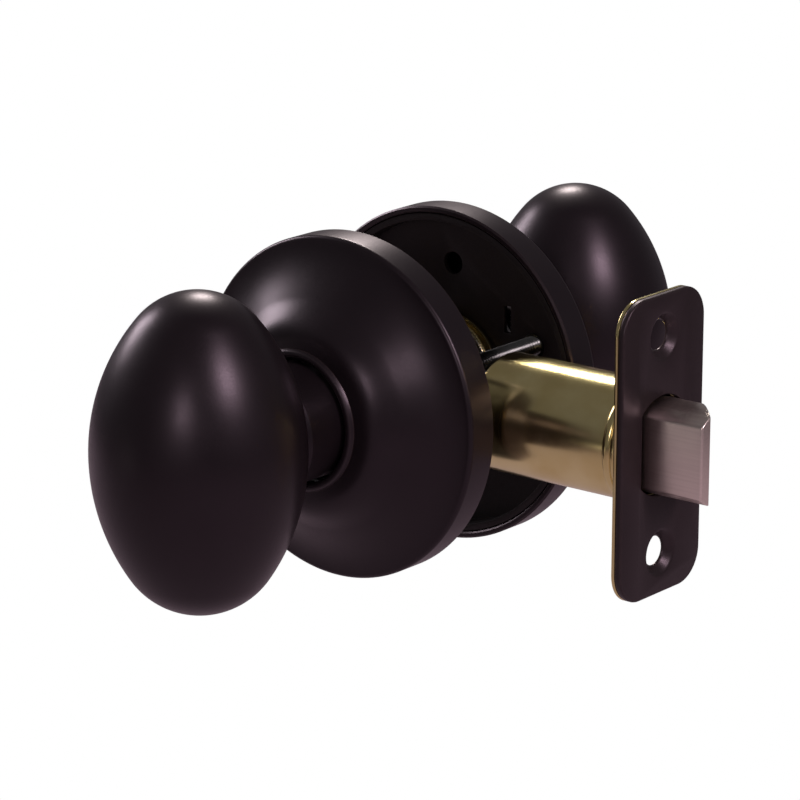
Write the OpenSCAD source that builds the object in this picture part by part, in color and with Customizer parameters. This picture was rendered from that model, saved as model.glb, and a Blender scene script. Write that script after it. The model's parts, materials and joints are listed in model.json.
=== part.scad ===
// Passage knob set with egg-shaped knobs and a tubular spring latch.
// The knob axis runs along Y and the latch axis along +X.
// They cross at the origin, in the middle of the door.

/* [Door] */
// Distance between the back faces of the two roses, which is the thickness they clamp
door_gap = 25.4; // [25:0.1:45]
// Distance from the knob axis to the door edge
backset = 60.4; // [60:0.1:70]

/* [Knob] */
// Width of the egg across its waist
knob_w = 40; // [34:0.5:48]
// Height of the egg from tip to tip
knob_h = 60.6; // [50:0.5:72]
// Radius of the egg's top tip
top_tip_r = 14.2; // [13:0.1:16]
// Radius of the egg's bottom tip
bottom_tip_r = 15.6; // [13:0.1:16]
// Wall of the hollow egg
knob_wall = 2; // [1.2:0.1:3]
// Distance of the egg's centre from the door face
knob_stand = 44.7; // [40:0.1:60]

/* [Neck] */
// Diameter of the neck that carries the egg
neck_d = 22.8; // [20:0.1:25]
// Bore through the neck
neck_bore = 16; // [13:0.1:16.5]
// Diameter of the neck's journal in its bush
journal_d = 18.4; // [18:0.1:19]
// Distance of the neck's shoulder from the door face
shoulder_z = 11; // [10.8:0.1:13]

/* [Rose] */
// Diameter of the rose
rose_d = 66.7; // [62:0.1:76]
// Height of the rose's straight skirt
skirt_h = 6.9; // [6.5:0.1:9]
// Height of the rolled bead's crest above the door face
rose_h = 18.2; // [17:0.1:24]
// Wall of the rose
rose_wall = 1.3; // [0.9:0.1:1.6]
// Radius of the skirt's outer edge
edge_r = 0.9; // [0.5:0.1:1.5]
// Thickness of the rolled bead round the neck hole
bead_d = 1.8; // [1.6:0.1:2.6]
// Gap between the neck and the bead
neck_gap = 0.6; // [0.4:0.1:1]
// Share of ogee in the face, where 0 is a plain cone
ogee = 0.7; // [0:0.05:1]

/* [Mounting plates] */
// Thickness of each mounting plate
plate_t = 1.2; // [1:0.1:2]
// Height of the collar that holds the bush
collar_h = 5; // [4:0.1:5.2]
// Wall of the bush between the journal and the collar
bush_wall = 1.6; // [1.2:0.1:2]
// Wall of the collar round the bush
collar_wall = 1.6; // [1.2:0.1:2]

/* [Screws and posts] */
// Distance of each screw from the knob axis
screw_circle = 21.5; // [21.2:0.1:22.5]
// Angle of the screw nearer the latch above the latch axis
screw_angle = 22; // [20:1:26]
// Diameter of the machine screws
screw_d = 4; // [3.5:0.1:4.2]
// Diameter of the threaded posts
post_d = 5; // [4.8:0.1:5.4]
// Length of the threaded posts
post_h = 5.2; // [4.8:0.1:5.4]

/* [Spindle] */
// Side of the square spindle
spindle_w = 6.35; // [6:0.05:6.5]
// How far the spindle reaches into each neck, from the door face
spindle_reach = 14; // [12:0.5:18]

/* [Faceplate] */
// Width of the faceplate
face_w = 25.4; // [25:0.1:29]
// Height of the faceplate
face_h = 57.15; // [55:0.05:60]
// Corner radius of the faceplate
face_r = 6.35; // [4:0.05:8]
// Thickness of the bronze front plate
face_t = 1.3; // [1:0.1:1.5]
// Thickness of the plated back plate
back_t = 0.7; // [0.6:0.1:1.2]
// Distance between the two wood screw holes
face_pitch = 41.275; // [40:0.005:43]
// Diameter of the wood screw holes
face_hole = 5.6; // [4.6:0.1:5.8]
// Diameter of the countersinks
sink_d = 8.8; // [8:0.1:9.4]
// Wall of the dimple that each countersink presses through the back plate
dimple_wall = 0.7; // [0.5:0.1:0.9]

/* [Latch] */
// Outer diameter of the latch tube
tube_d = 22.8; // [22:0.1:24]
// Wall of the latch tube
tube_wall = 0.9; // [0.8:0.1:1]
// Distance of the tube's inner end from the knob axis
tube_start = 26.5; // [26:0.1:27]
// Full throw of the bolt
throw = 12.7; // [12:0.1:12.7]
// Diameter of the round bar that the bolt is cut from
bolt_d = 18; // [17.4:0.1:19]
// Thickness of the bolt between its flats
bolt_t = 11.8; // [11:0.1:12.4]
// Width of the flat at the bolt's tip
bolt_tip = 2.6; // [2:0.1:3.4]
// Distance from the faceplate to where the bolt's bevel starts
bevel_start = 4; // [1:0.1:5]
// Thickness of the sheet that the tail plates and the drawbar are cut from
sheet_t = 1; // [0.8:0.1:1]

/* [Hidden] */
$fn = 96;
// Clearances
run_gap = 0.05;    // a journal in its bearing
slide_gap = 0.3;   // pieces that move past each other
fit_gap = 0.02;    // pieces of one assembly that fit together
loose_gap = 0.4;   // flat pieces side by side
seat_gap = 0.1;    // a piece resting on its seat
over = 1;          // how far a cutter passes the surface it cuts
// Rose
rose_r = rose_d / 2;
neck_r = neck_d / 2;
bead_r = bead_d / 2;
bead_at = neck_r + neck_gap + bead_r;
bead_z = rose_h - bead_r;
face_steps = 30;
edge_steps = 6;
// Mounting plate
plate_r = rose_r - rose_wall - slide_gap / 2;
plate_top = skirt_h - rose_wall - seat_gap;
plate_z = plate_top - plate_t;
journal_r = journal_d / 2;
bush_r = journal_r + bush_wall;
collar_r = bush_r + collar_wall;
collar_top = plate_z + collar_h;
bush_flange = 0.9;
spare_hole_d = 4.4;
spare_slot = [1.6, 5.4];
spare_slot_at = [13.4, 12.2];
tab = [2.4, 2.2, 2.4];
plate_lip_z = 0.2;
plate_lip_w = 1.4;
flange_inset = 0.4;
// Washer, clip and driver on the neck
washer_t = 0.9;
clip_t = 0.8;
clip_land = 1;
washer_z = plate_z - slide_gap - washer_t;
clip_z = washer_z - clip_t;
neck_end = clip_z - clip_land;
groove_r = journal_r - 0.6;
clip_r = journal_r + 1.2;
washer_r = bush_r + 1.2;
driver_t = 6;
driver_z = 6;
// Egg
side_steps = 14;
tip_steps = 10;
saddle_r = max(side_r(knob_w / 2, knob_h / 2, top_tip_r), side_r(knob_w / 2, knob_h / 2, bottom_tip_r));
// Return spring
coil_wire = 1.4;
coil_turns = 3;
coil_pitch = coil_wire + 0.25;
coil_room = 0.6;
coil_r = collar_r + slide_gap + coil_room + coil_wire / 2;
coil_z0 = plate_top + seat_gap + coil_wire / 2;
coil_z1 = coil_z0 + coil_turns * coil_pitch;
// Lug on the neck that the return spring pushes
neck_lug_w = 3;
neck_lug_h = 1.6;
neck_lug_z = coil_z1 + coil_wire / 2 + slide_gap;
neck_lug_root = 1;
// Screws and posts
screw_r = screw_d / 2;
screw_at = [screw_circle * cos(screw_angle), screw_circle * sin(screw_angle)];
screw_head_r = 3.9;
screw_head_top_r = 3.1;
screw_head_h = 2;
screw_hole_d = screw_d + 0.4;
recess = [4.2, 1.1, 1.2];
post_r = post_d / 2;
post_neck_r = post_r - 0.2;
post_proud = 0.3;
post_flange_r = post_r + 0.9;
post_flange_h = 0.8;
post_top = plate_z - post_proud + post_h;
screw_tip = post_top - 0.4;
half_gap = door_gap / 2;
// Latch stack across the door, from the middle outwards
horn_t = 3;
draw_in = 3.9;
draw_out = draw_in + sheet_t;
tail_in = draw_out + loose_gap;
tail_out = tail_in + sheet_t;
// Hub and its horns
hub_r = 5.8;
hub_boss_r = 7.3;
hub_boss_t = 2 * (draw_in - loose_gap);
hub_proud = 0.5;
hub_end = tail_out + hub_proud;
horn_w = 3.2;
horn_r = 11.9;
horn_lean = 45;
horn_play = 1;
// Drawbar
lug_r = 1.2;
lug_z = 10;
lug_x = lug_z * tan(horn_lean) - (horn_w / 2 + lug_r) / cos(horn_lean) - horn_play;
slot_r = hub_r + slide_gap;
slot_wall = 1.6;
draw_r = slot_r + slot_wall;
ear_r = 2;
arm_h = 8.8;
// Bolt and stem
face_x = backset + back_t + face_t;
sink_r = sink_d / 2;
dimple_land = 0.5;
dimple_slope = (sink_r - face_hole / 2) / (back_t + face_t - dimple_land);
dimple_r = face_hole / 2 + dimple_wall + dimple_slope * (back_t - dimple_land);
tip_x = face_x + throw;
bolt_r = bolt_d / 2;
bolt_gap = 0.4;
head_l = 4.9;
head_rear = backset - head_l;
bevel_x = face_x + bevel_start;
nose_r = 0.5;
nose_step = 15;
hook_t = 1.2;
hook_room = 1.4;
hook_x1 = head_rear - throw - hook_room;
hook_x0 = hook_x1 - hook_t;
tee_t = 2;
tee_r = draw_in - loose_gap;
tee_x1 = hook_x0 - slide_gap;
tee_x0 = tee_x1 - tee_t;
stem_r = 2.2;
stem_grip = 7;
// Tube and what sits in it
tube_r = tube_d / 2;
tube_in = tube_r - tube_wall;
ferrule_r = tube_r + 0.45;
ferrule_l = 3.4;
seat_t = 1.4;
seat_x = tube_start + 1.9;
seat_r = tube_in - run_gap;
bolt_coil_wire = 1.1;
bolt_coil_turns = 9;
bolt_coil_r = bolt_r - seat_gap - bolt_coil_wire / 2;
bolt_coil_x0 = seat_x + seat_t + bolt_coil_wire / 2;
bolt_coil_x1 = head_rear - bolt_coil_wire / 2 - run_gap;
// Tail plates
tail_h = 10.6;
tail_back = -13.6;
tail_corner = 4;
tail_step = 13;
tail_tongue_h = 7.4;
tail_end = seat_x - 0.2;
notch_r = screw_r + loose_gap;
rivet_r = 1.1;
rivet_head_r = 1.7;
rivet_head_h = 0.5;
rivets = [[-12.2, 9.2], [-12.2, -9.2], [24.6, 5.8], [24.6, -5.8]];

// ---- Placing ----

// Places a piece drawn outwards from the door face on the inside of the door.
module inside() {
    translate([0, -half_gap, 0])
        rotate([90, 0, 0])
            children();
}

// Places the same piece, mirrored, on the outside of the door.
module outside() {
    mirror([0, 1, 0])
        inside()
            children();
}

// Turns a flat outline on the XY plane to face the door edge, with its thickness along X.
module facing_edge(x, t) {
    translate([x, 0, 0])
        rotate([90, 0, 90])
            linear_extrude(t)
                children();
}

// Turns a flat outline on the XY plane into the plane of the door, from y0 to y0 + t.
module in_door_plane(y0, t) {
    translate([0, y0 + t, 0])
        rotate([90, 0, 0])
            linear_extrude(t)
                children();
}

// A round bar along X.
module bar_x(x0, x1, r) {
    translate([x0, 0, 0])
        rotate([0, 90, 0])
            cylinder(h = x1 - x0, r = r);
}

// A round bar along Y, from y0 to y1, at x and z.
module bar_y(x, z, y0, y1, r) {
    translate([x, y1, z])
        rotate([90, 0, 0])
            cylinder(h = y1 - y0, r = r);
}

// A flat ring.
module ring(r_out, r_in, z, h) {
    translate([0, 0, z])
        difference() {
            cylinder(h = h, r = r_out);
            translate([0, 0, -over])
                cylinder(h = h + 2 * over, r = r_in);
        }
}

// A wire wound round Z as a closed tube with flat ends.
module coil(r, wire, turns, z0, z1, sides = 8, per_turn = 28) {
    steps = turns * per_turn;
    points = [
        for (i = [0 : steps])
            let (a = 360 * i / per_turn, z = z0 + (z1 - z0) * i / steps)
                for (k = [0 : sides - 1])
                    let (b = 360 * k / sides, d = r + wire / 2 * cos(b))
                        [d * cos(a), d * sin(a), z + wire / 2 * sin(b)]
    ];
    sides_faces = [
        for (i = [0 : steps - 1])
            for (k = [0 : sides - 1])
                let (n = (k + 1) % sides)
                    [i * sides + k, i * sides + n, (i + 1) * sides + n, (i + 1) * sides + k]
    ];
    first = [for (k = [0 : sides - 1]) sides - 1 - k];
    last = [for (k = [0 : sides - 1]) steps * sides + k];
    polyhedron(points, concat([first], sides_faces, [last]), convexity = 10);
}

// ---- Knob ----

// On an egg of half width a and half height b, the radius of the side arc that meets a tip arc of radius c.
function side_r(a, b, c) = (a * a + (b - c) * (b - c) - c * c) / (2 * (a - c));

// One half of the egg's outline, from its waist to its tip: a side arc and then a tip arc.
function egg_half(a, b, c) =
    let (s = side_r(a, b, c), meet = atan((b - c) / (s - a)))
        concat(
            [for (i = [0 : side_steps]) let (t = meet * i / side_steps) [a - s + s * cos(t), s * sin(t)]],
            [
                for (i = [1 : tip_steps])
                    let (t = meet + (90 - meet) * i / tip_steps)
                        [c * cos(t), b - c + c * sin(t)]
            ]
        );

// An egg standing on Z. inset shrinks it evenly.
module egg(inset = 0) {
    a = knob_w / 2 - inset;
    b = knob_h / 2 - inset;
    top = egg_half(a, b, top_tip_r - inset);
    bottom = egg_half(a, b, bottom_tip_r - inset);
    last = side_steps + tip_steps;
    rotate_extrude()
        polygon(concat([for (i = [0 : last - 1]) [bottom[last - i][0], -bottom[last - i][1]]], top));
}

// The hollow egg.
module knob() {
    color("#2b2223")
        translate([0, 0, knob_stand])
            rotate([-90, 0, 0])
                difference() {
                    egg();
                    egg(knob_wall);
                }
}

// The waist of the egg alone, which shapes the saddle at the neck's end.
module egg_waist() {
    rotate_extrude()
        intersection() {
            translate([knob_w / 2 - saddle_r, 0])
                circle(r = saddle_r);
            translate([0, -neck_d])
                square([knob_w, 2 * neck_d]);
        }
}

// The turned neck: a journal for the bush, a shoulder, and a saddle brazed to the egg.
module neck() {
    color("#2b2223")
        difference() {
            union() {
                translate([0, 0, neck_end])
                    cylinder(h = shoulder_z - neck_end + over, r = journal_r);
                translate([0, 0, shoulder_z])
                    cylinder(h = knob_stand - shoulder_z, r = neck_r);
                translate([neck_r - neck_lug_root, -neck_lug_w / 2, neck_lug_z])
                    cube([bead_at - neck_r + neck_lug_root, neck_lug_w, neck_lug_h]);
            }
            translate([0, 0, neck_end - over])
                cylinder(h = knob_stand - neck_end + 2 * over, d = neck_bore);
            ring(journal_r + over, groove_r, clip_z, clip_t);
            translate([0, 0, knob_stand])
                rotate([-90, 0, 0])
                    egg_waist();
        }
}

// The disc pressed into the neck, which turns the spindle.
module spindle_driver() {
    color("silver")
        difference() {
            translate([0, 0, driver_z])
                cylinder(h = driver_t, d = neck_bore);
            translate([0, 0, driver_z + driver_t / 2])
                cube([spindle_w + 2 * run_gap, spindle_w + 2 * run_gap, driver_t + over], center = true);
        }
}

// The plated washer between the bush and the clip.
module thrust_washer() {
    color("#c8a850")
        ring(washer_r, journal_r + fit_gap, washer_z, washer_t);
}

// The spring steel C clip in the neck's groove.
module retaining_clip() {
    mouth = journal_r;
    color("silver")
        difference() {
            ring(clip_r, groove_r + fit_gap, clip_z, clip_t);
            translate([0, -mouth / 2, clip_z - over])
                cube([clip_r + over, mouth, clip_t + 2 * over]);
        }
}

// ---- Rose ----

// Height of the rose's face, from 0 at the skirt to 1 at the bead.
function face_rise(u) = (1 - ogee) * u + ogee * (1 - cos(180 * u)) / 2;

function face_outline(r0, z0, r1, z1) = [
    for (i = [0 : face_steps])
        let (u = i / face_steps)
            [r0 + (r1 - r0) * u, z0 + (z1 - z0) * face_rise(u)]
];

// The spun shell: a straight skirt, a rounded edge, an ogee face and a rolled bead.
module rose() {
    outer_r = rose_r - edge_r;
    edge = [
        for (i = [0 : edge_steps])
            let (a = 90 * i / edge_steps)
                [outer_r + edge_r * cos(a), skirt_h - edge_r + edge_r * sin(a)]
    ];
    outer = face_outline(outer_r, skirt_h, bead_at, bead_z);
    inner = face_outline(outer_r, skirt_h - rose_wall, bead_at, bead_z - rose_wall);
    inner_back = [for (i = [0 : face_steps]) inner[face_steps - i]];
    color("#2b2223")
        rotate_extrude() {
            polygon(concat(
                [[rose_r - rose_wall, 0], [rose_r, 0]],
                edge,
                [for (i = [1 : face_steps]) outer[i]],
                inner_back,
                [[rose_r - rose_wall, skirt_h - rose_wall]]
            ));
            translate([bead_at, bead_z])
                circle(r = bead_r);
        }
}

// The dished steel plate inside the rose. hole_d is the diameter of its two screw or post holes.
module mounting_plate(hole_d) {
    color("#3a3032")
        difference() {
            union() {
                translate([0, 0, plate_z])
                    cylinder(h = plate_t, r = plate_r);
                ring(plate_r, plate_r - plate_lip_w, plate_lip_z, plate_top - plate_lip_z);
                translate([0, 0, plate_z])
                    cylinder(h = collar_h, r = collar_r);
                translate([coil_r + coil_wire, -tab[1] / 2, plate_z])
                    cube([tab[0], tab[1], plate_t + tab[2]]);
            }
            translate([0, 0, plate_z - over])
                cylinder(h = collar_h + 2 * over, r = bush_r);
            for (side = [1, -1]) {
                translate([side * screw_at[0], side * screw_at[1], 0])
                    cylinder(h = skirt_h, d = hole_d);
                translate([0, side * screw_circle, 0])
                    cylinder(h = skirt_h, d = spare_hole_d);
                translate([side * spare_slot_at[0], side * spare_slot_at[1], plate_z])
                    cube([spare_slot[0], spare_slot[1], 2 * plate_t + over], center = true);
            }
        }
}

// The flanged bush pressed into the plate's collar.
module bush() {
    color("ivory")
        difference() {
            union() {
                translate([0, 0, plate_z])
                    cylinder(h = collar_h, r = bush_r);
                translate([0, 0, collar_top])
                    cylinder(h = bush_flange, r = collar_r - flange_inset);
            }
            translate([0, 0, plate_z - over])
                cylinder(h = collar_h + bush_flange + 2 * over, r = journal_r + run_gap);
        }
}

// The torsion spring round the collar, which turns the knob back.
module return_spring() {
    color("silver")
        coil(coil_r, coil_wire, coil_turns, coil_z0, coil_z1);
}

// ---- Screws, posts and spindle ----

// Two threaded posts riveted into the outside plate, standing into the hollow of the rose.
module threaded_posts() {
    color("silver")
        outside()
            for (side = [1, -1])
                translate([side * screw_at[0], side * screw_at[1], 0])
                    difference() {
                        union() {
                            translate([0, 0, plate_z - post_proud])
                                cylinder(h = post_proud, r = post_r);
                            translate([0, 0, plate_z])
                                cylinder(h = plate_t, r = post_neck_r);
                            translate([0, 0, plate_top])
                                cylinder(h = post_flange_h, r = post_flange_r);
                            translate([0, 0, plate_top])
                                cylinder(h = post_top - plate_top, r = post_r);
                        }
                        translate([0, 0, plate_z - post_proud - over])
                            cylinder(h = post_h + 2 * over, r = screw_r + fit_gap);
                    }
}

// Two machine screws from the inside plate into the posts, with crossed recesses in their heads.
module mounting_screws() {
    shank = plate_top + 2 * half_gap + screw_tip;
    color("silver")
        inside()
            for (side = [1, -1])
                translate([side * screw_at[0], side * screw_at[1], plate_top])
                    difference() {
                        union() {
                            cylinder(h = screw_head_h, r1 = screw_head_r, r2 = screw_head_top_r);
                            translate([0, 0, -shank])
                                cylinder(h = shank + over, r = screw_r);
                        }
                        for (turn = [0, 90])
                            rotate(turn)
                                translate([-recess[0] / 2, -recess[1] / 2, screw_head_h - recess[2]])
                                    cube([recess[0], recess[1], recess[2] + over]);
                    }
}

module spindle() {
    length = 2 * (half_gap + spindle_reach);
    color("silver")
        cube([spindle_w, length, spindle_w], center = true);
}

// ---- Faceplate, back plate and tube ----

module rounded_plate(w, h, r) {
    square([w - 2 * r, h], center = true);
    square([w, h - 2 * r], center = true);
    for (y = [-1, 1], z = [-1, 1])
        translate([y * (w / 2 - r), z * (h / 2 - r)])
            circle(r = r);
}

// Section of the bolt, grown by a clearance.
module bolt_section(grow) {
    intersection() {
        circle(r = bolt_r + grow);
        square([bolt_t + 2 * grow, bolt_d + 4 * grow], center = true);
    }
}

// A plate on the door's edge, with the bolt's opening and two round holes.
module edge_plate(x, t, hole_r) {
    facing_edge(x, t)
        difference() {
            rounded_plate(face_w, face_h, face_r);
            bolt_section(bolt_gap);
            for (z = [-1, 1])
                translate([0, z * face_pitch / 2])
                    circle(r = hole_r);
        }
}

// The bronze front plate. Its two countersinks are dimples that reach through the back plate.
module faceplate() {
    color("#2b2223")
        difference() {
            union() {
                edge_plate(backset + back_t, face_t, face_hole / 2);
                for (z = [-1, 1])
                    translate([backset, 0, z * face_pitch / 2])
                        rotate([0, 90, 0])
                            cylinder(h = back_t + face_t / 2, r = dimple_r);
            }
            for (z = [-1, 1])
                translate([backset - over, 0, z * face_pitch / 2])
                    rotate([0, 90, 0]) {
                        cylinder(h = over + face_x - backset, d = face_hole);
                        translate([0, 0, over + dimple_land])
                            cylinder(h = face_x - backset - dimple_land, r1 = face_hole / 2, r2 = sink_r);
                    }
        }
}

module back_plate() {
    color("#c8a850")
        edge_plate(backset, back_t, dimple_r + seat_gap);
}

module latch_tube() {
    color("#c8a850")
        difference() {
            bar_x(tube_start, backset, tube_r);
            bar_x(tube_start - over, backset + over, tube_in);
        }
}

// The short ring that locks the tube to the back plate.
module tube_ferrule() {
    color("#c8a850")
        difference() {
            bar_x(backset - ferrule_l, backset, ferrule_r);
            bar_x(backset - ferrule_l - over, backset + over, tube_r + fit_gap);
        }
}

// The disc in the tube that the bolt spring pushes on. The drawbar's arms pass through its window.
module spring_seat() {
    color("silver")
        difference() {
            bar_x(seat_x, seat_x + seat_t, seat_r);
            translate([seat_x + seat_t / 2, 0, 0])
                cube([seat_t + over, 2 * (draw_out + loose_gap), arm_h + 2 * loose_gap], center = true);
        }
}

// ---- Tail of the latch ----

// A tail plate's outline: a body round the hub, and a narrower tongue that reaches into the tube.
module tail_outline() {
    difference() {
        union() {
            translate([tail_back + tail_corner, -tail_h])
                square([tail_step - tail_back - tail_corner, 2 * tail_h]);
            translate([tail_back, tail_corner - tail_h])
                square([tail_corner, 2 * (tail_h - tail_corner)]);
            for (z = [-1, 1])
                translate([tail_back + tail_corner, z * (tail_h - tail_corner)])
                    circle(r = tail_corner);
            translate([0, -tail_tongue_h])
                square([tail_end, 2 * tail_tongue_h]);
        }
        circle(r = hub_r + run_gap);
        for (z = [-1, 1])
            translate([screw_at[0], z * screw_at[1]])
                circle(r = notch_r);
        for (at = rivets)
            translate(at)
                circle(r = rivet_r);
    }
}

module outside_tail_plate() {
    color("#c8a850")
        in_door_plane(tail_in, sheet_t)
            tail_outline();
}

module inside_tail_plate() {
    color("#c8a850")
        in_door_plane(-tail_out, sheet_t)
            tail_outline();
}

// Shouldered rivets that hold the two tail plates apart.
module tail_rivets() {
    color("silver")
        for (at = rivets) {
            bar_y(at[0], at[1], -tail_out, tail_out, rivet_r);
            bar_y(at[0], at[1], tail_out, tail_out + rivet_head_h, rivet_head_r);
            bar_y(at[0], at[1], -tail_out - rivet_head_h, -tail_out, rivet_head_r);
        }
}

// The hub that the spindle turns: journals in the tail plates, a boss, and two horns.
module latch_hub() {
    color("silver")
        difference() {
            union() {
                bar_y(0, 0, -hub_end, hub_end, hub_r);
                bar_y(0, 0, -hub_boss_t / 2, hub_boss_t / 2, hub_boss_r);
                in_door_plane(-horn_t / 2, horn_t)
                    for (lean = [horn_lean, 180 - horn_lean])
                        rotate(-lean) {
                            translate([-horn_w / 2, 0])
                                square([horn_w, horn_r - horn_w / 2]);
                            translate([0, horn_r - horn_w / 2])
                                circle(d = horn_w);
                        }
            }
            cube([spindle_w + 2 * run_gap, 2 * hub_end + over, spindle_w + 2 * run_gap], center = true);
        }
}

// One side of the drawbar: a slot round the hub, two ears for the lugs, and an arm towards the bolt.
module drawbar_side() {
    difference() {
        union() {
            circle(r = draw_r);
            translate([throw, 0])
                circle(r = draw_r);
            translate([0, -draw_r])
                square([throw, 2 * draw_r]);
            translate([lug_x - ear_r, ear_r / 2 - lug_z])
                square([2 * ear_r, 2 * lug_z - ear_r]);
            for (z = [-1, 1])
                translate([lug_x, z * (lug_z - ear_r / 2)])
                    circle(r = ear_r);
            translate([throw, -arm_h / 2])
                square([hook_x1 - throw, arm_h]);
        }
        circle(r = slot_r);
        translate([throw, 0])
            circle(r = slot_r);
        translate([0, -slot_r])
            square([throw, 2 * slot_r]);
    }
}

// The drawbar: two sides, the lugs that the horns push, and the hook that pulls the stem.
module drawbar() {
    color("silver") {
        in_door_plane(draw_in, sheet_t)
            drawbar_side();
        in_door_plane(-draw_out, sheet_t)
            drawbar_side();
        for (z = [-1, 1])
            bar_y(lug_x, z * lug_z, -draw_out, draw_out, lug_r);
        difference() {
            translate([hook_x0, -draw_out, -arm_h / 2])
                cube([hook_t, 2 * draw_out, arm_h]);
            bar_x(hook_x0 - over, hook_x1 + over, stem_r + slide_gap);
        }
    }
}

// ---- Bolt ----

// The stem, with the round head that the drawbar's hook pulls on.
module bolt_stem() {
    color("silver") {
        bar_x(tee_x0, tee_x1, tee_r);
        bar_x(tee_x0, head_rear + stem_grip, stem_r);
    }
}

// The bolt head: two flats on a round bar, and a bevel that rides over the strike.
module latch_bolt() {
    half = bolt_t / 2;
    nose = [
        for (a = [-90 : nose_step : 0])
            [tip_x - nose_r + nose_r * cos(a), -half + nose_r + nose_r * sin(a)]
    ];
    color("#b8aaa4")
        difference() {
            intersection() {
                bar_x(head_rear, tip_x, bolt_r);
                translate([0, 0, -bolt_d])
                    linear_extrude(2 * bolt_d)
                        polygon(concat(
                            [[head_rear, -half]],
                            nose,
                            [[tip_x, bolt_tip - half], [bevel_x, half], [head_rear, half]]
                        ));
            }
            bar_x(head_rear - over, head_rear + stem_grip, stem_r);
        }
}

// The spring that pushes the bolt out.
module bolt_spring() {
    color("silver")
        rotate([0, 90, 0])
            coil(bolt_coil_r, bolt_coil_wire, bolt_coil_turns, bolt_coil_x0, bolt_coil_x1);
}

// ---- The whole set ----

outside() knob();  // outside_knob
outside() neck();  // outside_neck
outside() rose();  // outside_rose
outside() mounting_plate(2 * post_neck_r);  // outside_mounting_plate
outside() bush();  // outside_bush
outside() return_spring();  // outside_return_spring
outside() thrust_washer();  // outside_thrust_washer
outside() retaining_clip();  // outside_retaining_clip
outside() spindle_driver();  // outside_spindle_driver
inside() knob();  // inside_knob
inside() neck();  // inside_neck
inside() rose();  // inside_rose
inside() mounting_plate(screw_hole_d);  // inside_mounting_plate
inside() bush();  // inside_bush
inside() return_spring();  // inside_return_spring
inside() thrust_washer();  // inside_thrust_washer
inside() retaining_clip();  // inside_retaining_clip
inside() spindle_driver();  // inside_spindle_driver
threaded_posts();
mounting_screws();
spindle();
faceplate();
back_plate();
tube_ferrule();
latch_tube();
outside_tail_plate();
inside_tail_plate();
tail_rivets();
latch_hub();
drawbar();
spring_seat();
bolt_spring();
bolt_stem();
latch_bolt();
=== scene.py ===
# A passage door knob set: two egg-shaped knobs on round roses, and a plated tubular latch between them.
# The knob axis runs along Y, the latch points along +X, and the two cross at the origin.
import json
from math import atan, cos, hypot, pi, radians, sin

import bpy
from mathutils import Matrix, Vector


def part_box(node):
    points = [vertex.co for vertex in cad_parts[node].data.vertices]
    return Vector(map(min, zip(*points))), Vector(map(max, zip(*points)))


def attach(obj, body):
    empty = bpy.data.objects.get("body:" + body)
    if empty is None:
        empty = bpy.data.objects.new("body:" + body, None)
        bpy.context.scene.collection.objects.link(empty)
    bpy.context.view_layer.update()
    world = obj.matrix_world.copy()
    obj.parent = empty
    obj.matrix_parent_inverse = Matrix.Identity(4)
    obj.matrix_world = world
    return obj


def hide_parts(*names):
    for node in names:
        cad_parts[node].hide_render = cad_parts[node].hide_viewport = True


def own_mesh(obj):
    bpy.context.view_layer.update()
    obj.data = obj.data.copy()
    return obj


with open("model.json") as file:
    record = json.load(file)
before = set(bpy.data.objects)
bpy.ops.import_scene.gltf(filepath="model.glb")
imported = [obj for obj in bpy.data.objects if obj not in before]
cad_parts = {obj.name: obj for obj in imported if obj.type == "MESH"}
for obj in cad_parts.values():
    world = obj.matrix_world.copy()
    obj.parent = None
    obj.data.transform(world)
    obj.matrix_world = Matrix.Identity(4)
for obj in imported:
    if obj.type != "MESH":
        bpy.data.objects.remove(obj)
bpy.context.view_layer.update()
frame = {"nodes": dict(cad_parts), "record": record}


# ---- Knobs ----
# Each knob is a hollow egg, spun from brass in two halves, brazed and polished smooth.
# It is dipped in a dark bronze finish and rubbed to a satin. The tips are a little fuller than an ellipse's.

TOP_TIP = 0.0142
BOTTOM_TIP = 0.0156
EGG_STEPS = 24
ROUND_STEPS = 160
SMOOTH_UNDER = radians(32)
WELD = 1e-6
BRONZE_SHADE = (0.0105, 0.0072, 0.0088)
WORN_BRONZE = (0.09, 0.062, 0.055)
LIGHTER = 1.35


def arc(centre, radius, start, end, steps):
    """Points on an arc about centre, given as (across, along), from start to end in radians."""
    turns = [start + (end - start) * i / steps for i in range(steps + 1)]
    return [(centre[0] + radius * cos(t), centre[1] + radius * sin(t)) for t in turns]


def draw(outline):
    """Draws an outline through points in space, one extrusion at a time, and leaves edit mode open."""
    points = [Vector(p) for p in outline]
    bpy.ops.object.select_all(action="DESELECT")
    bpy.ops.mesh.primitive_plane_add(size=WELD, location=points[0])
    bpy.ops.object.mode_set(mode="EDIT")
    bpy.ops.mesh.select_mode(type="VERT")
    bpy.ops.mesh.merge(type="CENTER")
    for here, there in zip(points, points[1:]):
        bpy.ops.mesh.extrude_region_move(TRANSFORM_OT_translate={"value": there - here})


def spin_round(centre, axis, steps=ROUND_STEPS):
    """Spins the outline that is open in edit mode once round an axis."""
    bpy.ops.mesh.select_all(action="SELECT")
    bpy.ops.mesh.spin(steps=steps, angle=2 * pi, center=centre, axis=axis)


def finish_piece(name, material, body, replaced):
    """Closes the mesh that is open in edit mode and hands it over as a finished piece."""
    bpy.ops.mesh.select_all(action="SELECT")
    bpy.ops.mesh.remove_doubles(threshold=WELD)
    bpy.ops.mesh.normals_make_consistent(inside=False)
    bpy.ops.object.mode_set(mode="OBJECT")
    bpy.ops.object.transform_apply(location=True, rotation=True, scale=True)
    bpy.ops.object.shade_smooth_by_angle(angle=SMOOTH_UNDER)
    piece = bpy.context.object
    piece.name = name
    piece.data.materials.clear()
    piece.data.materials.append(material)
    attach(piece, body)
    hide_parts(*replaced)
    return piece


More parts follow.
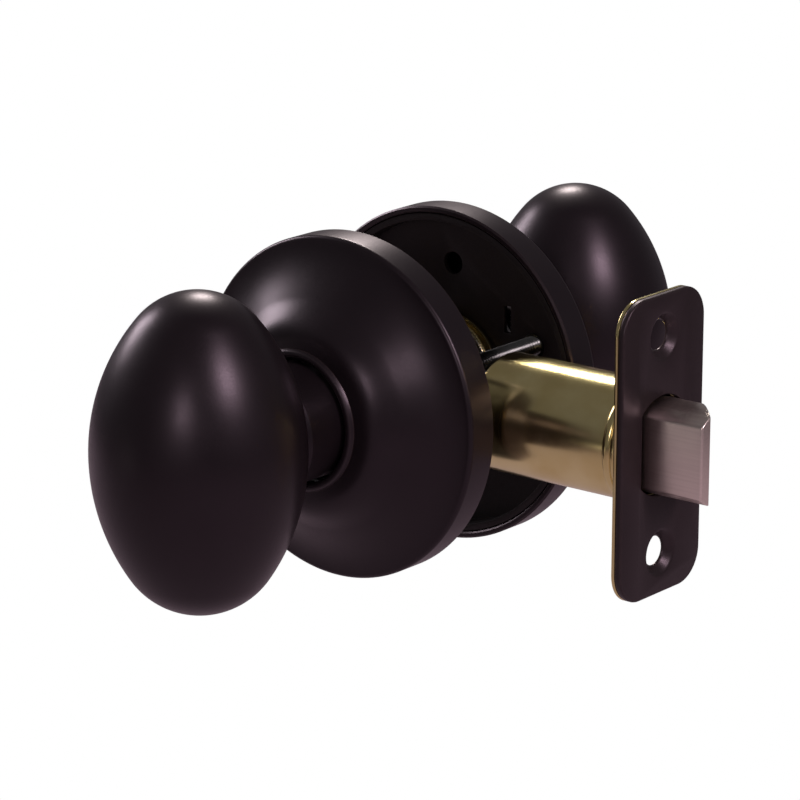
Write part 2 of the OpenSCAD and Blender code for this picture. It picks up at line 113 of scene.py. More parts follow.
def add_node(tree, kind, inputs=None, **settings):
    """Adds a shader node. An input is either a number or colour, or the socket that feeds it."""
    made = tree.nodes.new("ShaderNode" + kind)
    for key, value in settings.items():
        setattr(made, key, value)
    for key, value in (inputs or {}).items():
        if isinstance(value, bpy.types.NodeSocket):
            tree.links.new(value, made.inputs[key])
        else:
            made.inputs[key].default_value = value
    return made


def remap(tree, value, low, high, to_low=0.0, to_high=1.0):
    """Stretches a value, so that low gives to_low and high gives to_high, and holds it between them."""
    made = add_node(tree, "MapRange", {"Value": value, 1: low, 2: high, 3: to_low, 4: to_high})
    return made.outputs[0]


def mix(tree, share, first, second):
    """Mixes two colours, each given as red, green and blue or as the socket that feeds it."""
    ends = [end if isinstance(end, bpy.types.NodeSocket) else (*end, 1) for end in (first, second)]
    return add_node(tree, "Mix", {0: share, 6: ends[0], 7: ends[1]}, data_type="RGBA").outputs[2]


def start_group(name, inputs, outputs):
    """A shader node group with named inputs, each (name, kind, value), and outputs, each (name, kind)."""
    group = bpy.data.node_groups.new(name, "ShaderNodeTree")
    for label, kind, value in inputs:
        made = group.interface.new_socket(label, in_out="INPUT", socket_type="NodeSocket" + kind)
        made.default_value = value
    for label, kind in outputs:
        group.interface.new_socket(label, in_out="OUTPUT", socket_type="NodeSocket" + kind)
    return group, group.nodes.new("NodeGroupInput").outputs, group.nodes.new("NodeGroupOutput")


def grain_group():
    """Fine grain: cloudy patches and a tight speckle, as a roughness and a height."""
    group, given, result = start_group(
        "fine_grain",
        [
            ("Patch size", "Float", 90.0),
            ("Speckle size", "Float", 2600.0),
            ("Low", "Float", 0.3),
            ("High", "Float", 0.4),
        ],
        [("Roughness", "Float"), ("Height", "Float"), ("Patch", "Float")],
    )
    place = add_node(group, "TexCoord").outputs["Object"]
    patch = add_node(group, "TexNoise", {"Vector": place, "Scale": given["Patch size"], "Detail": 5.0})
    speckle = add_node(group, "TexNoise", {"Vector": place, "Scale": given["Speckle size"], "Detail": 2.0})
    mixed = add_node(group, "Math", {0: patch.outputs[0], 1: speckle.outputs[0]}, operation="ADD")
    rough = remap(group, mixed.outputs[0], 0.7, 1.3, given["Low"], given["High"])
    group.links.new(rough, result.inputs["Roughness"])
    group.links.new(speckle.outputs[0], result.inputs["Height"])
    group.links.new(patch.outputs[0], result.inputs["Patch"])
    return group


def edge_group():
    """Edge wear: 1 on sharp outer edges, broken up by noise, and 0 elsewhere."""
    group, given, result = start_group(
        "edge_wear", [("Reach", "Float", 0.0004), ("Amount", "Float", 1.0)], [("Mask", "Float")]
    )
    place = add_node(group, "TexCoord").outputs["Object"]
    rounded = add_node(group, "Bevel", {"Radius": given["Reach"]}, samples=6)
    true_normal = add_node(group, "NewGeometry").outputs["True Normal"]
    along = add_node(
        group, "VectorMath", {0: rounded.outputs[0], 1: true_normal}, operation="DOT_PRODUCT"
    )
    off = remap(group, along.outputs["Value"], 0.995, 0.85)
    broken = add_node(group, "TexNoise", {"Vector": place, "Scale": 700.0, "Detail": 4.0})
    kept = remap(group, broken.outputs[0], 0.35, 0.65, to_low=0.4)
    worn = add_node(group, "Math", {0: off, 1: kept}, operation="MULTIPLY")
    scaled = add_node(group, "Math", {0: worn.outputs[0], 1: given["Amount"]}, operation="MULTIPLY")
    group.links.new(scaled.outputs[0], result.inputs["Mask"])
    return group


FINE_GRAIN = grain_group()
EDGE_WEAR = edge_group()


def start_material(name):
    """A new material, with its node tree and its main shader."""
    material = bpy.data.materials.new(name)
    material.use_nodes = True
    return material, material.node_tree, material.node_tree.nodes["Principled BSDF"]


def add_group(tree, group, **inputs):
    """Places a node group, with its inputs named by words joined with _."""
    made = tree.nodes.new("ShaderNodeGroup")
    made.node_tree = group
    for key, value in inputs.items():
        made.inputs[key.replace("_", " ").capitalize()].default_value = value
    return made.outputs


def coat(tree, skin, colour, grain, height, bump, depth=0.00002):
    """Feeds a shader its colour, the grain's roughness, and a bump of a height."""
    relief = add_node(tree, "Bump", {"Height": height, "Strength": bump, "Distance": depth})
    tree.links.new(colour, skin.inputs["Base Color"])
    tree.links.new(grain["Roughness"], skin.inputs["Roughness"])
    tree.links.new(relief.outputs[0], skin.inputs["Normal"])


def dark_bronze(name, shade, low, high, bump, wear):
    """Dark bronze: nearly black brown with a plum cast, satin, and a little lighter on its edges."""
    material, tree, skin = start_material(name)
    grain = add_group(tree, FINE_GRAIN, low=low, high=high)
    edge = add_group(tree, EDGE_WEAR, reach=0.0005, amount=wear)
    mottled = mix(tree, grain["Patch"], shade, [c * LIGHTER for c in shade])
    worn = mix(tree, edge["Mask"], mottled, WORN_BRONZE)
    coat(tree, skin, worn, grain, grain["Height"], bump)
    skin.inputs["Metallic"].default_value = 0.35
    skin.inputs["Specular IOR Level"].default_value = 0.5
    skin.inputs["Specular Tint"].default_value = (1.0, 0.86, 0.95, 1)
    return material


KNOB_BRONZE = dark_bronze("knob_bronze", BRONZE_SHADE, low=0.3, high=0.38, bump=0.2, wear=0.0)


def egg_half(wide, tall, tip):
    """The egg's outline from its waist to its tip: a long side arc that runs smoothly into the tip's arc."""
    side = (wide**2 + (tall - tip) ** 2 - tip**2) / (2 * (wide - tip))
    meet = atan((tall - tip) / (side - wide))
    tip_arc = arc((0, tall - tip), tip, meet, pi / 2, EGG_STEPS)
    return arc((wide - side, 0), side, 0, meet, EGG_STEPS) + tip_arc[1:]


def egg(side):
    """An egg that fills the CAD knob's box."""
    low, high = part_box(side + "_knob")
    centre = (low + high) / 2
    wide, tall = (high.x - low.x) / 2, (high.z - low.z) / 2
    top = egg_half(wide, tall, TOP_TIP)
    bottom = [(r, -z) for r, z in egg_half(wide, tall, BOTTOM_TIP)]
    outline = bottom[::-1] + top[1:]
    draw([(r, centre.y, z) for r, z in outline])
    spin_round(centre, (0, 0, 1))
    finish_piece(side + "_egg", KNOB_BRONZE, "knobs", [side + "_knob"])


for side in ("outside", "inside"):
    egg(side)


# ---- Necks ----
# Each neck is a turned brass tube. Its thin journal runs in the rose's bush, and its far end is brazed to the
# egg with a small fillet. Here the tube runs on into the egg, where its end is out of sight.

SIDE_SIGN = {"outside": 1, "inside": -1}
HALF_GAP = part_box("outside_rose")[0].y
NECK_RADIUS = 0.0114
NECK_JOURNAL = 0.0092
NECK_SHOULDER = 0.011
NECK_BORE = 0.008
NECK_CHAMFER = 0.0004
BRAZE = 0.0009
BRAZE_STEPS = 6
SADDLE = 0.88
BURIED = 0.6


def turned(side, outline, name, material, body, replaced):
    """A piece turned about the knob axis from an outline of (radius, height above the door's face)."""
    draw([(r, SIDE_SIGN[side] * (HALF_GAP + z), 0) for r, z in outline])
    spin_round((0, 0, 0), (0, 1, 0))
    finish_piece(name, material, body, replaced)


def neck(side):
    """A neck from inside the rose to inside the egg, with a fillet where it meets the egg's side."""
    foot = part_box("outside_neck")[0].y - HALF_GAP
    knob_low, knob_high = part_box("outside_knob")
    knob_at = (knob_low.y + knob_high.y) / 2 - HALF_GAP
    wide = (knob_high.x - knob_low.x) / 2
    saddle = knob_at - wide * SADDLE
    outline = [
        (NECK_BORE, foot + NECK_CHAMFER),
        (NECK_BORE + NECK_CHAMFER, foot),
        (NECK_JOURNAL - NECK_CHAMFER, foot),
        (NECK_JOURNAL, foot + NECK_CHAMFER),
        (NECK_JOURNAL, NECK_SHOULDER),
        (NECK_RADIUS - NECK_CHAMFER, NECK_SHOULDER),
        (NECK_RADIUS, NECK_SHOULDER + NECK_CHAMFER),
        *arc((NECK_RADIUS + BRAZE, saddle - BRAZE), BRAZE, pi, pi / 2, BRAZE_STEPS),
        (NECK_BORE, knob_at - wide * BURIED),
        (NECK_BORE, foot + NECK_CHAMFER),
    ]
    turned(side, outline, side + "_neck_tube", KNOB_BRONZE, "knobs", [side + "_neck"])


for side in SIDE_SIGN:
    neck(side)


# ---- Roses ----
# Each rose is spun from brass sheet: a straight skirt with a rounded edge, an ogee face, and a bead rolled
# round the neck's hole. It carries the same dark bronze finish, rubbed a little lighter on the skirt's edge.

SKIRT = 0.0069
ROSE_WALL = 0.0013
ROSE_EDGE = 0.0009
ROSE_EDGE_STEPS = 10
BEAD = 0.0009
BEAD_HOLE = 0.012
BEAD_START = radians(50)
BEAD_END = radians(220)
BEAD_STEPS = 24
OGEE = 0.7
SHOULDER = 0.085
SHOULDER_FROM = 0.5
FACE_STEPS = 64

ROSE_BRONZE = dark_bronze("rose_bronze", BRONZE_SHADE, low=0.3, high=0.38, bump=0.2, wear=0.5)


def ogee_face(start, end):
    """The face's outline from the skirt to the bead: a cone, with an S-shaped curve and a shoulder added."""
    outline = []
    for i in range(FACE_STEPS + 1):
        u = i / FACE_STEPS
        curve = (1 - cos(pi * u)) / 2
        shoulder = SHOULDER * sin(2 * pi * u) ** 2 if u > SHOULDER_FROM else 0
        rise = (1 - OGEE) * u + OGEE * curve + shoulder
        outline.append((start[0] + (end[0] - start[0]) * u, start[1] + (end[1] - start[1]) * rise))
    return outline


def rose(side):
    """A rose as one closed sheet: up its skirt, over its face to the bead, and back along the inside."""
    low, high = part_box("outside_rose")
    radius = (high.x - low.x) / 2
    bead = (BEAD_HOLE + BEAD, high.y - HALF_GAP - BEAD)
    shoulder = radius - ROSE_EDGE
    inner = radius - ROSE_WALL
    rim = ROSE_WALL / 4

    def clear_of_bead(points):
        return [p for p in points if hypot(p[0] - bead[0], p[1] - bead[1]) > BEAD]

    outline = [
        (inner, rim),
        (inner + rim, 0),
        (radius - rim, 0),
        (radius, rim),
        *arc((shoulder, SKIRT - ROSE_EDGE), ROSE_EDGE, 0, pi / 2, ROSE_EDGE_STEPS),
        *clear_of_bead(ogee_face((shoulder, SKIRT), bead))[1:],
        *arc(bead, BEAD, BEAD_START, BEAD_END, BEAD_STEPS),
        *clear_of_bead(ogee_face((shoulder, SKIRT - ROSE_WALL), (bead[0], bead[1] - ROSE_WALL)))[::-1],
        (inner, SKIRT - ROSE_WALL),
        (inner, rim),
    ]
    turned(side, outline, side + "_rose_shell", ROSE_BRONZE, "door_set", [side + "_rose"])


for side in SIDE_SIGN:
    rose(side)


# ---- Mounting plates ----
# Behind each rose is a dished plate of pressed steel with a collar, dipped in a thin black coat. Its edges
# are rolled over by the press, and the coat is dull, with a reddish cast.

NODES = frame["nodes"]
BODY_OF = {node: body for body, nodes in frame["record"]["behaviour"]["bodies"].items() for node in nodes}
FLAT_WITHIN = radians(1)
CORNER_OVER = radians(35)
PLATE_EDGE = 0.00025


def softened(node, name, edge, material, segments=2):
    """Stands in for a CAD node: a copy with its triangles joined and its sharp edges rounded."""
    bpy.ops.object.select_all(action="DESELECT")
    piece = NODES[node].copy()
    piece.data = NODES[node].data.copy()
    bpy.context.scene.collection.objects.link(piece)
    bpy.context.view_layer.objects.active = piece
    piece.select_set(True)
    piece.hide_render = False
    bpy.ops.object.mode_set(mode="EDIT")
    bpy.ops.mesh.select_all(action="SELECT")
    bpy.ops.mesh.customdata_custom_splitnormals_clear()
    bpy.ops.mesh.remove_doubles(threshold=WELD)
    bpy.ops.mesh.dissolve_limited(angle_limit=FLAT_WITHIN)
    bpy.ops.object.mode_set(mode="OBJECT")
    rounding = piece.modifiers.new("rounding", "BEVEL")
    rounding.width = edge
    rounding.segments = segments
    rounding.limit_method = "ANGLE"
    rounding.angle_limit = CORNER_OVER
    rounding.use_clamp_overlap = False
    bpy.ops.object.modifier_apply(modifier="rounding")
    bpy.ops.object.mode_set(mode="EDIT")
    finish_piece(name, material, BODY_OF[node], [node])


def black_coat():
    """A thin dull black coat on pressed steel, in faint patches, with bare metal on its edges."""
    material, tree, skin = start_material("black_coat")
    grain = add_group(tree, FINE_GRAIN, low=0.5, high=0.65)
    edge = add_group(tree, EDGE_WEAR, reach=0.0003, amount=0.5)
    mottled = mix(tree, grain["Patch"], (0.005, 0.0022, 0.0026), (0.011, 0.005, 0.0055))
    worn = mix(tree, edge["Mask"], mottled, (0.03, 0.022, 0.023))
    coat(tree, skin, worn, grain, grain["Height"], bump=0.4, depth=0.00003)
    skin.inputs["Metallic"].default_value = 0.3
    return material


BLACK_COAT = black_coat()

for side in SIDE_SIGN:
    softened(side + "_mounting_plate", side + "_dished_plate", PLATE_EDGE, BLACK_COAT)


# ---- Bushes ----
# A flanged bush of natural nylon is pressed into each collar. It is off white and a little waxy, with a
# faint mottle from the mould.

BUSH_EDGE = 0.0002


def natural_nylon():
    """Uncoloured nylon: off white, softly mottled, and lit a little from inside."""
    material, tree, skin = start_material("natural_nylon")
    grain = add_group(tree, FINE_GRAIN, patch_size=160.0, low=0.38, high=0.5)
    mottled = mix(tree, grain["Patch"], (0.70, 0.66, 0.55), (0.80, 0.77, 0.68))
    coat(tree, skin, mottled, grain, grain["Height"], bump=0.2)
    skin.inputs["Subsurface Weight"].default_value = 0.1
    skin.inputs["Subsurface Radius"].default_value = (0.001, 0.0008, 0.0006)
    return material


NYLON = natural_nylon()

for side in SIDE_SIGN:
    softened(side + "_bush", side + "_flanged_bush", BUSH_EDGE, NYLON)


# ---- Springs ----
# Drawn steel wire, coiled and left bright: two return springs round the collars, and the long spring that
# pushes the bolt. A film of oil leaves the wire in cloudy patches.


def plated(name, dark, light, low, high, wear, tone):
    """Bright metal with cloudy plating, a fine speckle, and edges rubbed to a lighter tone."""
    material, tree, skin = start_material(name)
    grain = add_group(tree, FINE_GRAIN, patch_size=130.0, speckle_size=3200.0, low=low, high=high)
    edge = add_group(tree, EDGE_WEAR, reach=0.0003, amount=wear)
    clouds = remap(tree, grain["Patch"], 0.35, 0.65)
    mottled = mix(tree, clouds, dark, light)
    worn = mix(tree, edge["Mask"], mottled, tone)
    coat(tree, skin, worn, grain, grain["Height"], bump=0.15)
    skin.inputs["Metallic"].default_value = 1.0
    return material


SPRING_WIRE = plated(
    "spring_wire",
    dark=(0.36, 0.35, 0.34), light=(0.5, 0.5, 0.5), low=0.22, high=0.34, wear=0.0, tone=(0.6, 0.6, 0.6),
)
RETURN_WIRE = 0.0014
BOLT_WIRE = 0.0011
WIRE_SIDES = 12
TURN_STEPS = 40


def coil(node, name, axis, turns, wire):
    """A wire wound round the X or Y axis, in the space that the CAD spring holds."""
    low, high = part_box(node)
    along = "xyz".index(axis)
    start, end = low[along] + wire / 2, high[along] - wire / 2
    radius = (high.z - low.z) / 2 - wire / 2
    path = bpy.data.curves.new(name, "CURVE")
    path.dimensions = "3D"
    path.bevel_depth = wire / 2
    path.bevel_resolution = WIRE_SIDES // 4
    path.use_fill_caps = True
    spline = path.splines.new("POLY")
    steps = turns * TURN_STEPS
    spline.points.add(steps)
    for i, point in enumerate(spline.points):
        turn = 2 * pi * i / TURN_STEPS
        travel = start + (end - start) * i / steps
        ring = (radius * cos(turn), radius * sin(turn))
        point.co = (travel, *ring, 1) if axis == "x" else (ring[0], travel, ring[1], 1)
    piece = bpy.data.objects.new(name, path)
    bpy.context.scene.collection.objects.link(piece)
    bpy.ops.object.select_all(action="DESELECT")
    bpy.context.view_layer.objects.active = piece
    piece.select_set(True)
    bpy.ops.object.convert(target="MESH")
    bpy.ops.object.mode_set(mode="EDIT")
    return finish_piece(name, SPRING_WIRE, BODY_OF[node], [node])


for side in SIDE_SIGN:
    coil(side + "_return_spring", side + "_return_coil", "y", turns=3, wire=RETURN_WIRE)
bolt_coil = coil("bolt_spring", "bolt_coil", "x", turns=9, wire=BOLT_WIRE)
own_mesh(bolt_coil)


# ---- Washers, clips and spindle drivers ----
# Inside each plate a yellow zinc washer and a spring steel clip hold the neck in its bush. The disc pressed
# into the neck, which turns the spindle, is bright zinc.

STAMPED_EDGE = 0.00015
TURNED_EDGE = 0.0002

YELLOW_ZINC = plated(
    "yellow_zinc_plate",
    dark=(0.74, 0.60, 0.26), light=(0.84, 0.72, 0.36), low=0.15, high=0.22, wear=0.35, tone=(0.85, 0.78, 0.6),
)
BRIGHT_ZINC = plated(
    "bright_zinc_plate",
    dark=(0.34, 0.34, 0.34), light=(0.5, 0.5, 0.5), low=0.2, high=0.32, wear=0.3, tone=(0.7, 0.7, 0.7),
)

for side in SIDE_SIGN:
    softened(side + "_thrust_washer", side + "_washer", STAMPED_EDGE, YELLOW_ZINC)
    softened(side + "_retaining_clip", side + "_clip", STAMPED_EDGE, SPRING_WIRE)
    softened(side + "_spindle_driver", side + "_driver", TURNED_EDGE, BRIGHT_ZINC)


# ---- Posts, screws and spindle ----
# Two threaded posts are riveted into the outside plate, and two machine screws with crossed recesses run
# into them from the inside plate, all in zinc painted dark with the shade that falls between the roses. The
# square spindle between the knobs is bright.

SCREW_RADIUS = 0.002
SCREW_STEPS = 48
SMOOTH_SHANK = 0.004
THREAD_DEPTH = 0.00035
THREAD_PITCH = 0.0008
THREAD_SIDES = 24
CREST_START = 0.4
CREST_END = 0.5
RIDGE_END = 0.9
HEAD_RADIUS = 0.0039
HEAD_TOP = 0.0031
HEAD_HEIGHT = 0.002
HEAD_ROUND = 0.0006
HEAD_SLOPE = -0.3
HEAD_STEPS = 5
HEAD_RIM = 0.0003
RECESS_LENGTH = 0.0042
RECESS_WIDTH = 0.0011
RECESS_CUTTER = 0.0024
SPINDLE_EDGE = 0.0004

# Painted shade: the posts and screws get a darker copy of the zinc plate, for the shade between the roses.
SHADED_ZINC = plated(
    "shaded_zinc",
    dark=(0.09, 0.09, 0.088), light=(0.2, 0.2, 0.19), low=0.16, high=0.26, wear=0.25, tone=(0.6, 0.6, 0.58),
)

softened("threaded_posts", "posts", TURNED_EDGE, SHADED_ZINC)
softened("spindle", "square_spindle", SPINDLE_EDGE, BRIGHT_ZINC)


def screw_blank(x, z, top, tip):
    """A screw before it is cut: a pan head, a smooth neck, and a shank down to the root of its thread."""
    seat = top + HEAD_HEIGHT
    root = SCREW_RADIUS - THREAD_DEPTH
    outline = [
        (0, top),
        *arc((HEAD_TOP - HEAD_ROUND, top + HEAD_ROUND), HEAD_ROUND, -pi / 2, HEAD_SLOPE, HEAD_STEPS),
        (HEAD_RADIUS, seat - HEAD_RIM),
        (HEAD_RADIUS - HEAD_RIM, seat),
        (SCREW_RADIUS, seat),
        (SCREW_RADIUS, seat + SMOOTH_SHANK),
        (root, seat + SMOOTH_SHANK + THREAD_DEPTH),
        (root, tip - THREAD_DEPTH),
        (root - THREAD_DEPTH, tip),
        (0, tip),
    ]
    draw([(x + r, y, z) for r, y in outline])
    spin_round((x, 0, z), (0, 1, 0), steps=SCREW_STEPS)
    bpy.ops.mesh.remove_doubles(threshold=WELD)
    bpy.ops.mesh.normals_make_consistent(inside=False)
    bpy.ops.object.mode_set(mode="OBJECT")
    return bpy.context.object


def cut_recess(blank, place):
    """Cuts a crossed recess into a screw's head with two thin blocks, centred on the head's top."""
    for across, up in ((RECESS_LENGTH, RECESS_WIDTH), (RECESS_WIDTH, RECESS_LENGTH)):
        bpy.ops.mesh.primitive_cube_add(size=1, location=place, scale=(across, RECESS_CUTTER, up))
        cutter = bpy.context.object
        cut = blank.modifiers.new("recess", "BOOLEAN")
        cut.operation = "DIFFERENCE"
        cut.object = cutter
        bpy.context.view_layer.objects.active = blank
        bpy.ops.object.modifier_apply(modifier="recess")
        bpy.data.objects.remove(cutter)


def screw_thread(x, z, start, tip):
    """The ridge of a screw's thread, wound from start nearly to the tip, with its two ends closed."""
    foot = SCREW_RADIUS - THREAD_DEPTH - THREAD_DEPTH / 4
    crest = [(SCREW_RADIUS, CREST_START), (SCREW_RADIUS, CREST_END)]
    ridge = [(foot, 0), *crest, (foot, RIDGE_END), (foot, 0)]
    draw([(r, start + share * THREAD_PITCH, 0) for r, share in ridge])
    bpy.ops.mesh.select_all(action="SELECT")
    bpy.ops.mesh.remove_doubles(threshold=WELD)
    bpy.ops.object.mode_set(mode="OBJECT")
    bpy.ops.object.transform_apply(location=True, rotation=True, scale=True)
    thread = bpy.context.object
    winding = thread.modifiers.new("winding", "SCREW")
    winding.axis = "Y"
    winding.steps = winding.render_steps = THREAD_SIDES
    winding.screw_offset = THREAD_PITCH
    winding.iterations = int((tip - start - THREAD_DEPTH) / THREAD_PITCH) - 1
    bpy.ops.object.modifier_apply(modifier="winding")
    bpy.ops.object.mode_set(mode="EDIT")
    bpy.ops.mesh.select_all(action="SELECT")
    bpy.ops.mesh.fill_holes(sides=0)
    bpy.ops.transform.translate(value=(x, 0, z))
    bpy.ops.object.mode_set(mode="OBJECT")
    return thread


def machine_screw(name, x, z):
    """A screw along Y, with its head at the -Y end and a thread up to its tip."""
    low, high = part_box("mounting_screws")
    top, tip = low.y, high.y
    blank = screw_blank(x, z, top, tip)
    cut_recess(blank, (x, top, z))
    thread = screw_thread(x, z, top + HEAD_HEIGHT + SMOOTH_SHANK + THREAD_DEPTH, tip)
    blank.select_set(True)
    thread.select_set(True)
    bpy.context.view_layer.objects.active = blank
    bpy.ops.object.join()
    bpy.ops.object.mode_set(mode="EDIT")
    finish_piece(name, SHADED_ZINC, "door_set", ["mounting_screws"])


screw_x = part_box("mounting_screws")[1].x - HEAD_RADIUS
screw_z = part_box("mounting_screws")[1].z - HEAD_RADIUS
machine_screw("latch_side_screw", screw_x, screw_z)
machine_screw("back_side_screw", -screw_x, -screw_z)


# ---- Tail of the latch ----
# Two yellow zinc plates, held apart by rivets, carry the hub that the spindle turns. Its horns push the
# drawbar, and the drawbar's hook pulls the bolt's stem.

for side in SIDE_SIGN:
    softened(side + "_tail_plate", side + "_tail_cheek", STAMPED_EDGE, YELLOW_ZINC)
softened("tail_rivets", "cheek_rivets", TURNED_EDGE, BRIGHT_ZINC)
softened("latch_hub", "horned_hub", TURNED_EDGE, BRIGHT_ZINC)
softened("drawbar", "hooked_drawbar", STAMPED_EDGE, BRIGHT_ZINC)
softened("spring_seat", "coil_seat", TURNED_EDGE, BRIGHT_ZINC)


# ---- Tube and ferrule ----
# The tube is rolled steel with a yellow zinc plate, smooth enough to mirror its surroundings. A short
# ferrule, swaged over its front end in two round beads, locks it to the back plate.

TUBE_WALL = 0.0009
TUBE_LIP = 0.0003
TUBE_LIP_START = -0.6 * pi
TUBE_LIP_END = -1.4 * pi
TUBE_LIP_STEPS = 6
FERRULE_GAP = 0.00002
FERRULE_BEAD = 0.00085
FERRULE_STEPS = 12


def along_latch(outline, name, material, replaced):
    """A piece turned about the latch axis from an outline of (distance along X, radius)."""
    draw([(x, 0, r) for x, r in outline])
    spin_round((0, 0, 0), (1, 0, 0))
    finish_piece(name, material, BODY_OF[replaced], [replaced])


tube_low, tube_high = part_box("latch_tube")
tube_radius = tube_high.z
half_wall = TUBE_WALL / 2
lip_centre = (tube_low.x + half_wall, tube_radius - half_wall)
tube_outline = [
    (tube_low.x + TUBE_LIP, tube_radius - TUBE_WALL),
    *arc(lip_centre, half_wall, TUBE_LIP_START, TUBE_LIP_END, TUBE_LIP_STEPS),
    (tube_low.x + half_wall + TUBE_LIP, tube_radius),
    (tube_high.x, tube_radius),
    (tube_high.x, tube_radius - TUBE_WALL),
    (tube_low.x + TUBE_LIP, tube_radius - TUBE_WALL),
]
along_latch(tube_outline, "yellow_tube", YELLOW_ZINC, "latch_tube")

ferrule_low, ferrule_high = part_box("tube_ferrule")
ferrule_seat = tube_radius + FERRULE_GAP
bead_height = ferrule_high.z - ferrule_seat
bead_arc = arc((0, 0), 1, pi, 0, FERRULE_STEPS)[1:-1]
ferrule_outline = [(ferrule_high.x, ferrule_seat), (ferrule_low.x, ferrule_seat)]
for centre in (ferrule_low.x + FERRULE_BEAD, ferrule_high.x - FERRULE_BEAD):
    ferrule_outline += [(centre + x * FERRULE_BEAD, ferrule_seat + r * bead_height) for x, r in bead_arc]
ferrule_outline.append((ferrule_high.x, ferrule_seat))
along_latch(ferrule_outline, "ferrule_ring", YELLOW_ZINC, "tube_ferrule")


# ---- Bolt ----
# The bolt is sintered steel, ground flat on two sides and bevelled, then plated in satin nickel. Fine
# grinding lines run along it, and a band near the plate is painted darker as shade where the bolt leaves the
# opening.

STEM_EDGE = 0.0003
BOLT_EDGE = 0.00025
GRIND_LINES = (60.0, 2400.0, 2400.0)
# Where the band of painted shade in front of the faceplate starts and ends, and how dark it gets.
SHADE_BAND_START = 0.0008
SHADE_BAND_END = 0.0034
SHADE_BAND_DEEPEST = 0.75


def satin_nickel():
    """Nickel plate with fine grinding lines along X, and a band of painted shade just in front of the
    faceplate.
    """
    material, tree, skin = start_material("satin_nickel")
    grain = add_group(tree, FINE_GRAIN, patch_size=220.0, low=0.28, high=0.38)
    edge = add_group(tree, EDGE_WEAR, reach=0.0003, amount=0.4)
    place = add_node(tree, "TexCoord").outputs["Object"]
    drawn = add_node(tree, "Mapping", {"Vector": place, "Scale": GRIND_LINES})
    lines = add_node(tree, "TexNoise", {"Vector": drawn.outputs[0], "Scale": 1.0, "Detail": 3.0})
    streaked = mix(tree, lines.outputs[0], (0.80, 0.68, 0.61), (0.98, 0.85, 0.77))
    along = add_node(tree, "SeparateXYZ", {0: place}).outputs["X"]
    face_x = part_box("faceplate")[1].x
    # Painted shade: the bolt's colour is darkened just in front of the faceplate, where the opening shades
    # it.
    painted_shade = remap(tree, along, face_x + SHADE_BAND_START, face_x + SHADE_BAND_END, to_low=SHADE_BAND_DEEPEST, to_high=0.0)
    shaded_near_plate = mix(tree, painted_shade, streaked, (0.24, 0.185, 0.17))
    worn = mix(tree, edge["Mask"], shaded_near_plate, (0.8, 0.74, 0.72))
    height = add_node(tree, "Math", {0: lines.outputs[0], 1: grain["Height"]}, operation="ADD")
    coat(tree, skin, worn, grain, height.outputs[0], bump=0.25)
    skin.inputs["Metallic"].default_value = 1.0
    return material


softened("bolt_stem", "headed_stem", STEM_EDGE, BRIGHT_ZINC)
softened("latch_bolt", "bevelled_bolt", BOLT_EDGE, satin_nickel(), segments=3)


# ---- Back plate and faceplate ----
# A yellow zinc back plate carries the tube, and the dark bronze faceplate covers it. The press rounds the
# faceplate's outer edge and the lips of its two countersinks.

BACK_EDGE = 0.0001
FACE_EDGE = 0.00035

softened("back_plate", "plated_back", BACK_EDGE, YELLOW_ZINC)

FACE_BRONZE = dark_bronze("face_bronze", (0.021, 0.0145, 0.0155), low=0.34, high=0.44, bump=0.4, wear=0.8)
softened("faceplate", "bronze_face", FACE_EDGE, FACE_BRONZE, segments=3)


# ---- Stage ----
# A floor, soft boxes over and beside the set, and the camera. The floor and the room look plain white, but
# they light the set as a dim mauve grey, so the dark metal stays dark.

FLOOR_SIZE = 6
FLOOR_HEIGHT = -0.25
FLOOR_SHADE = (0.44, 0.37, 0.41, 1)
ROOM_SHADE = (0.9, 0.86, 0.9, 1)
ROOM_LIGHT = 0.14
WHITE = (1, 1, 1, 1)

bpy.context.scene.view_settings.view_transform = "Standard"

bpy.ops.object.select_all(action="DESELECT")
bpy.ops.mesh.primitive_plane_add(size=FLOOR_SIZE, location=(0, 0, FLOOR_HEIGHT))
floor = bpy.context.object
floor.name = "floor"
floor_paint, tree, skin = start_material("floor_paint")
skin.inputs["Base Color"].default_value = FLOOR_SHADE
skin.inputs["Roughness"].default_value = 0.9
glow = add_node(tree, "Emission", {"Color": WHITE, "Strength": 1.0})
seen = add_node(tree, "LightPath").outputs["Is Camera Ray"]
shown = add_node(tree, "MixShader", {0: seen, 1: skin.outputs[0], 2: glow.outputs[0]})
tree.links.new(shown.outputs[0], tree.nodes["Material Output"].inputs[0])
floor.data.materials.append(floor_paint)

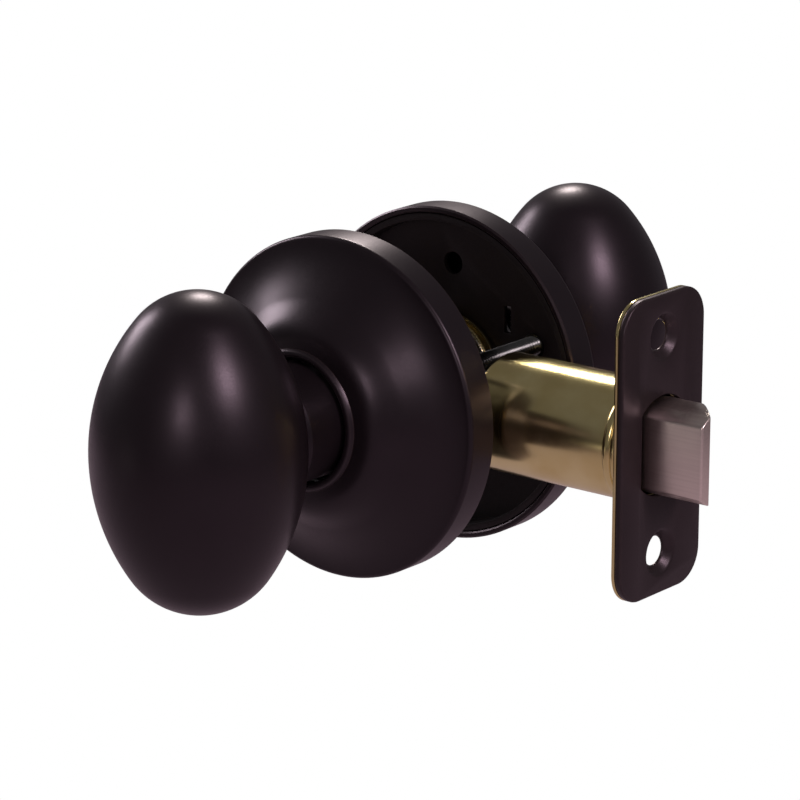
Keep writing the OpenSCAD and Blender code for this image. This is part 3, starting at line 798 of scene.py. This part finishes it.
world = bpy.data.worlds.new("studio")
bpy.context.scene.world = world
world.use_nodes = True
sky = world.node_tree
ray = add_node(sky, "LightPath").outputs["Is Camera Ray"]
dim = add_node(sky, "Background", {"Color": ROOM_SHADE, "Strength": ROOM_LIGHT})
bright = add_node(sky, "Background", {"Color": WHITE, "Strength": 1.0})
mixed = add_node(sky, "MixShader", {0: ray, 1: dim.outputs[0], 2: bright.outputs[0]})
sky.links.new(mixed.outputs[0], sky.nodes["World Output"].inputs[0])


def softbox(name, azimuth, elevation, distance, size, watts, tint):
    """A soft area light of a (width, height), facing the origin from an azimuth and elevation in degrees."""
    a, e = radians(azimuth), radians(elevation)
    away = Vector((sin(a) * cos(e), -cos(a) * cos(e), sin(e)))
    lamp = bpy.data.lights.new(name, "AREA")
    lamp.shape = "RECTANGLE"
    lamp.size, lamp.size_y = size
    lamp.energy = watts
    lamp.color = tint
    light = bpy.data.objects.new(name, lamp)
    light.location = away * distance
    light.rotation_euler = away.to_track_quat("Z", "Y").to_euler()
    bpy.context.scene.collection.objects.link(light)


softbox("key_softbox", 82, 36, distance=1.2, size=(0.3, 0.36), watts=7, tint=(1, 0.84, 0.93))
softbox("rim_softbox", -90, 24, distance=1.4, size=(0.4, 0.5), watts=7, tint=(1, 0.92, 0.97))
softbox("back_softbox", -140, 38, distance=1.2, size=(0.22, 0.18), watts=5.2, tint=(1, 0.95, 0.88))
softbox("front_softbox", 24, 20, distance=1.3, size=(0.3, 0.3), watts=2.2, tint=(1, 0.86, 0.93))
softbox("low_softbox", -35, -14, distance=1.3, size=(0.5, 0.4), watts=0.3, tint=(1, 0.95, 0.9))

CAMERA_PLACE = (0.418033, -0.513061, 0.186049)
CAMERA_TILT = radians(74.087)
CAMERA_TURN = radians(39.142)

camera_data = bpy.data.cameras.new("camera")
camera_data.lens = 159.7
camera_data.sensor_width = 36
camera = bpy.data.objects.new("camera", camera_data)
camera.location = CAMERA_PLACE
camera.rotation_euler = (CAMERA_TILT, 0, CAMERA_TURN)
bpy.context.scene.collection.objects.link(camera)
bpy.context.scene.camera = camera
